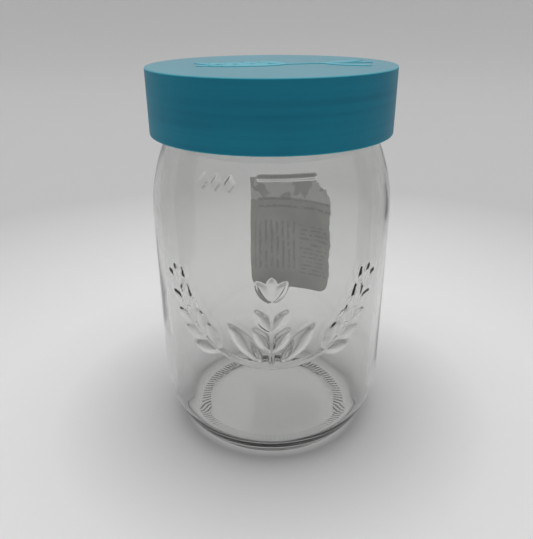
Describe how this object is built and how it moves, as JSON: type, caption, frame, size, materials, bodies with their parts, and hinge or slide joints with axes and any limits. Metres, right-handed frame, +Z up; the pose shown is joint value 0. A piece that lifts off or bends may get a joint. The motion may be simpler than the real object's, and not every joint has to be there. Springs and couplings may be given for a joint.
{
  "type": "sourdough starter jar",
  "caption": "Clear barrel-shaped preserving glass with a lift-off push-on cover and rubber ring, for keeping a sourdough starter.",
  "frame": {"origin": "centre of the foot, on the surface the jar stands on", "axes": "+Z up along the jar's axis, -Y towards the front with the fill line, +X to the right seen from the front"},
  "size_m": [0.11, 0.1104, 0.1741],
  "materials": {
    "clear_glass": "clear, slightly green in the thick heel",
    "label_paper": "matt paper sticker",
    "seal_rubber": "soft matt",
    "cover_plastic": "satin teal with faint rings",
    "ornament_plastic": "smooth bright teal"
  },
  "bodies": {
    "jar": {"glass_jar": "clear_glass", "back_label": "label_paper"},
    "lid": {"lid_shell": "cover_plastic", "lid_ornament": "ornament_plastic", "sealing_ring": "seal_rubber"}
  },
  "joints": [
    {"name": "lid_lift", "type": "slide", "parent": "jar", "child": "lid", "axis": [0, 0, 1], "range_m": [0, 0.08]}
  ]
}
